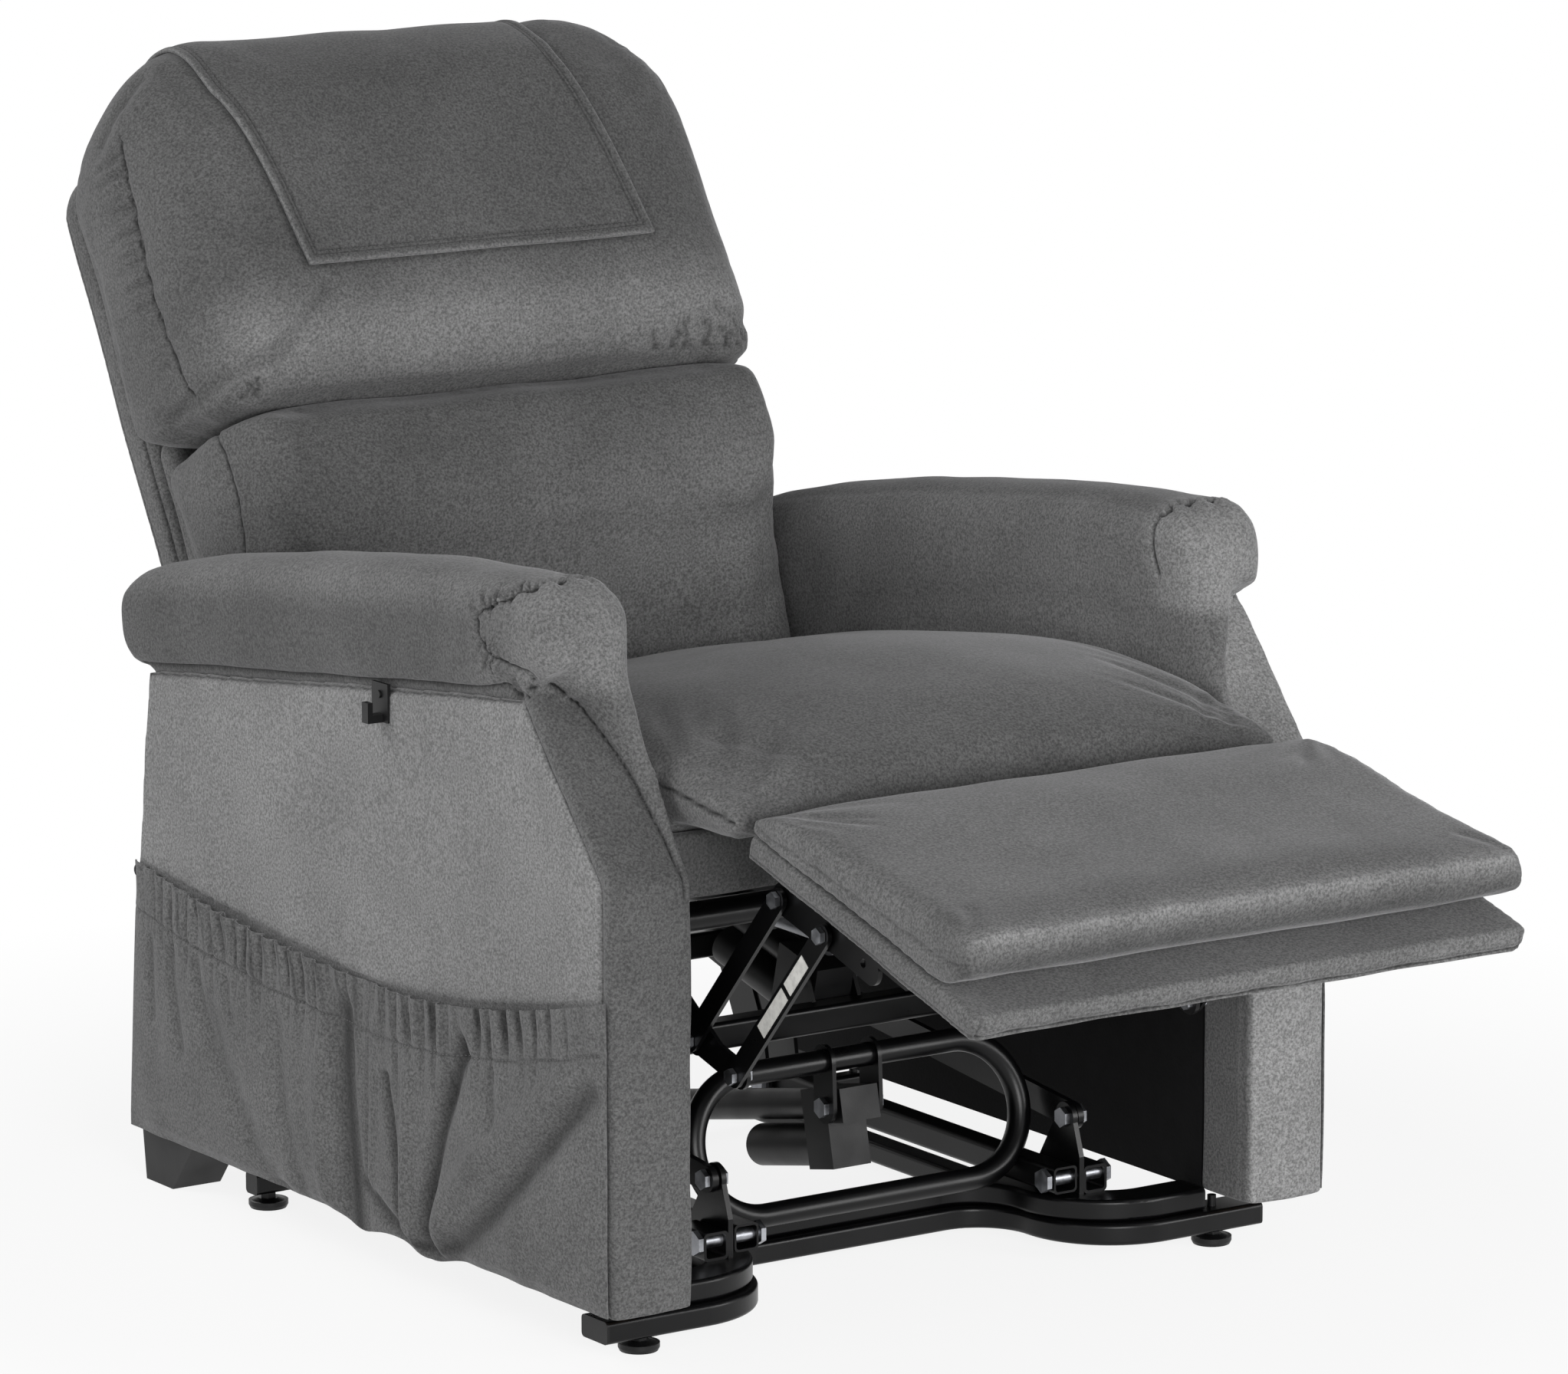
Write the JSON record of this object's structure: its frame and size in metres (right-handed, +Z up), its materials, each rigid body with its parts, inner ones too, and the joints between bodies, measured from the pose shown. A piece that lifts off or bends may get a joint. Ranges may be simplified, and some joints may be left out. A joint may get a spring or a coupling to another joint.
{
  "type": "lift recliner chair",
  "caption": "Upholstered powered armchair with lifting base, reclining back, pantograph legrest, padded arms, side pockets and a headrest cloth.",
  "frame": {"origin": "on the floor below the middle of the whole chair's bounding box", "axes": "+Z up, -Y the way the sitter faces (towards the footrest), +X towards the sitter's left hand"},
  "size_m": [0.7908, 1.5028, 1.0253],
  "materials": {
    "frame_steel": "gloss black powder coat",
    "zinc_steel": "bright zinc plate",
    "black_plastic": "fine moulded grain",
    "cloth": "short-pile velour",
    "lining": "black non-woven lining",
    "timber": "planed softwood and plywood"
  },
  "bodies": {
    "base": {"base_front_tube": "frame_steel", "lift_frame_tube": "frame_steel", "base_side_rails": "frame_steel", "base_rear_tube": "frame_steel", "tube_end_caps": "black_plastic", "pivot_brackets": "frame_steel", "base_pins": "zinc_steel"},
    "front_left_foot": {"foot_front_left": "black_plastic"},
    "front_right_foot": {"foot_front_right": "black_plastic"},
    "rear_left_foot": {"foot_rear_left": "black_plastic"},
    "rear_right_foot": {"foot_rear_right": "black_plastic"},
    "cradle": {"lift_hoop": "frame_steel", "lift_arms": "frame_steel", "hoop_pin": "zinc_steel"},
    "stabilisers": {"stabiliser_links": "frame_steel"},
    "lift_housing": {"lift_motor": "black_plastic"},
    "lift_ram": {"lift_rod": "zinc_steel"},
    "chassis": {"chassis_plates": "frame_steel", "chassis_cross_tubes": "frame_steel", "lift_forks": "frame_steel", "chassis_pins": "zinc_steel", "control_box": "black_plastic", "legrest_motor": "black_plastic", "recline_motor": "black_plastic", "seat_side_rails": "timber", "seat_cross_rails": "timber", "seat_webbing": "lining", "seat_front_board": "cloth", "seat_cushion": "cloth", "recline_brackets": "frame_steel", "arm_panel_left": "cloth", "arm_panel_right": "cloth", "arm_facings": "cloth", "arm_linings": "lining", "arm_timbers": "timber", "arm_pad_left": "cloth", "arm_pad_right": "cloth", "pocket_left": "cloth", "pocket_right": "cloth", "handset_hook": "black_plastic", "rear_legs": "black_plastic"},
    "legrest_ram": {"legrest_rod": "zinc_steel"},
    "recline_ram": {"recline_rod": "zinc_steel"},
    "crank": {"torque_tube": "frame_steel", "crank_plates": "frame_steel", "crank_pins": "zinc_steel"},
    "long_links": {"legrest_links_long": "frame_steel"},
    "rear_links": {"legrest_links_rear": "frame_steel"},
    "control_links": {"legrest_control_links": "frame_steel"},
    "footrest": {"footrest_brackets": "frame_steel", "footrest_pins": "zinc_steel", "footrest_board": "cloth", "footrest_pad": "cloth"},
    "backrest": {"back_frame": "frame_steel", "back_board": "timber", "back_shell": "cloth", "lumbar_cushion": "cloth", "head_cushion": "cloth", "head_cloth": "cloth"}
  },
  "joints": [
    {"name": "lift", "type": "hinge", "parent": "base", "child": "cradle", "pos_m": [0, -0.24696, 0.0695], "axis": [1, 0, 0], "range_deg": [0, 30]},
    {"name": "chassis_tilt", "type": "hinge", "parent": "cradle", "child": "chassis", "pos_m": [0, 0.19804, 0.0695], "axis": [1, 0, 0], "range_deg": [-15.2, 0.2]},
    {"name": "stabiliser_swing", "type": "hinge", "parent": "base", "child": "stabilisers", "pos_m": [0, -0.23406, 0.1203], "axis": [1, 0, 0], "range_deg": [-0.2, 29.8]},
    {"name": "lift_housing_swing", "type": "hinge", "parent": "cradle", "child": "lift_housing", "pos_m": [0, -0.16496, 0.145], "axis": [1, 0, 0], "range_deg": [-33.2, 0.4]},
    {"name": "lift_ram_slide", "type": "slide", "parent": "lift_housing", "child": "lift_ram", "axis": [0, 0.9785, -0.2064], "range_m": [-0.001, 0.0545]},
    {"name": "legrest", "type": "hinge", "parent": "chassis", "child": "crank", "pos_m": [0, -0.19696, 0.343], "axis": [1, 0, 0], "range_deg": [-10, 70]},
    {"name": "long_link_swing", "type": "hinge", "parent": "crank", "child": "long_links", "pos_m": [0, -0.28196, 0.259], "axis": [1, 0, 0], "range_deg": [-70.5, 10.5]},
    {"name": "rear_link_swing", "type": "hinge", "parent": "crank", "child": "rear_links", "pos_m": [0, -0.34796, 0.241], "axis": [1, 0, 0], "range_deg": [-70.5, 10.5]},
    {"name": "control_link_swing", "type": "hinge", "parent": "chassis", "child": "control_links", "pos_m": [0, -0.15326, 0.3323], "axis": [1, 0, 0], "range_deg": [-10.5, 70.5]},
    {"name": "footrest_tilt", "type": "hinge", "parent": "long_links", "child": "footrest", "pos_m": [0, -0.41296, 0.405], "axis": [1, 0, 0], "range_deg": [-10.5, 70.5]},
    {"name": "legrest_ram_slide", "type": "slide", "parent": "chassis", "child": "legrest_ram", "axis": [0, -0.9999, -0.0129], "range_m": [-0.0415, 0.0065]},
    {"name": "recline", "type": "hinge", "parent": "chassis", "child": "backrest", "pos_m": [0, 0.35304, 0.395], "axis": [-1, 0, 0], "range_deg": [-17, 20]},
    {"name": "recline_ram_slide", "type": "slide", "parent": "chassis", "child": "recline_ram", "axis": [0, 0.9699, 0.2436], "range_m": [-0.021, 0.018]},
    {"name": "front_left_foot_screw", "type": "slide", "parent": "base", "child": "front_left_foot", "axis": [0, 0, -1], "range_m": [0, 0.012]},
    {"name": "front_right_foot_screw", "type": "slide", "parent": "base", "child": "front_right_foot", "axis": [0, 0, -1], "range_m": [0, 0.012]},
    {"name": "rear_left_foot_screw", "type": "slide", "parent": "base", "child": "rear_left_foot", "axis": [0, 0, -1], "range_m": [0, 0.012]},
    {"name": "rear_right_foot_screw", "type": "slide", "parent": "base", "child": "rear_right_foot", "axis": [0, 0, -1], "range_m": [0, 0.012]}
  ],
  "couplings": [
    {"joint": "chassis_tilt", "follows": "lift", "ratio": -0.5},
    {"joint": "stabiliser_swing", "follows": "lift", "ratio": 0.98564},
    {"joint": "lift_housing_swing", "follows": "lift", "ratio": -1.0944},
    {"joint": "lift_ram_slide", "follows": "lift", "m_per_rad": 0.10213},
    {"joint": "long_link_swing", "follows": "legrest", "ratio": -1},
    {"joint": "rear_link_swing", "follows": "legrest", "ratio": -1},
    {"joint": "control_link_swing", "follows": "legrest", "ratio": 1},
    {"joint": "footrest_tilt", "follows": "legrest", "ratio": 1},
    {"joint": "legrest_ram_slide", "follows": "legrest", "m_per_rad": -0.033532},
    {"joint": "recline_ram_slide", "follows": "recline", "m_per_rad": -0.058293}
  ]
}
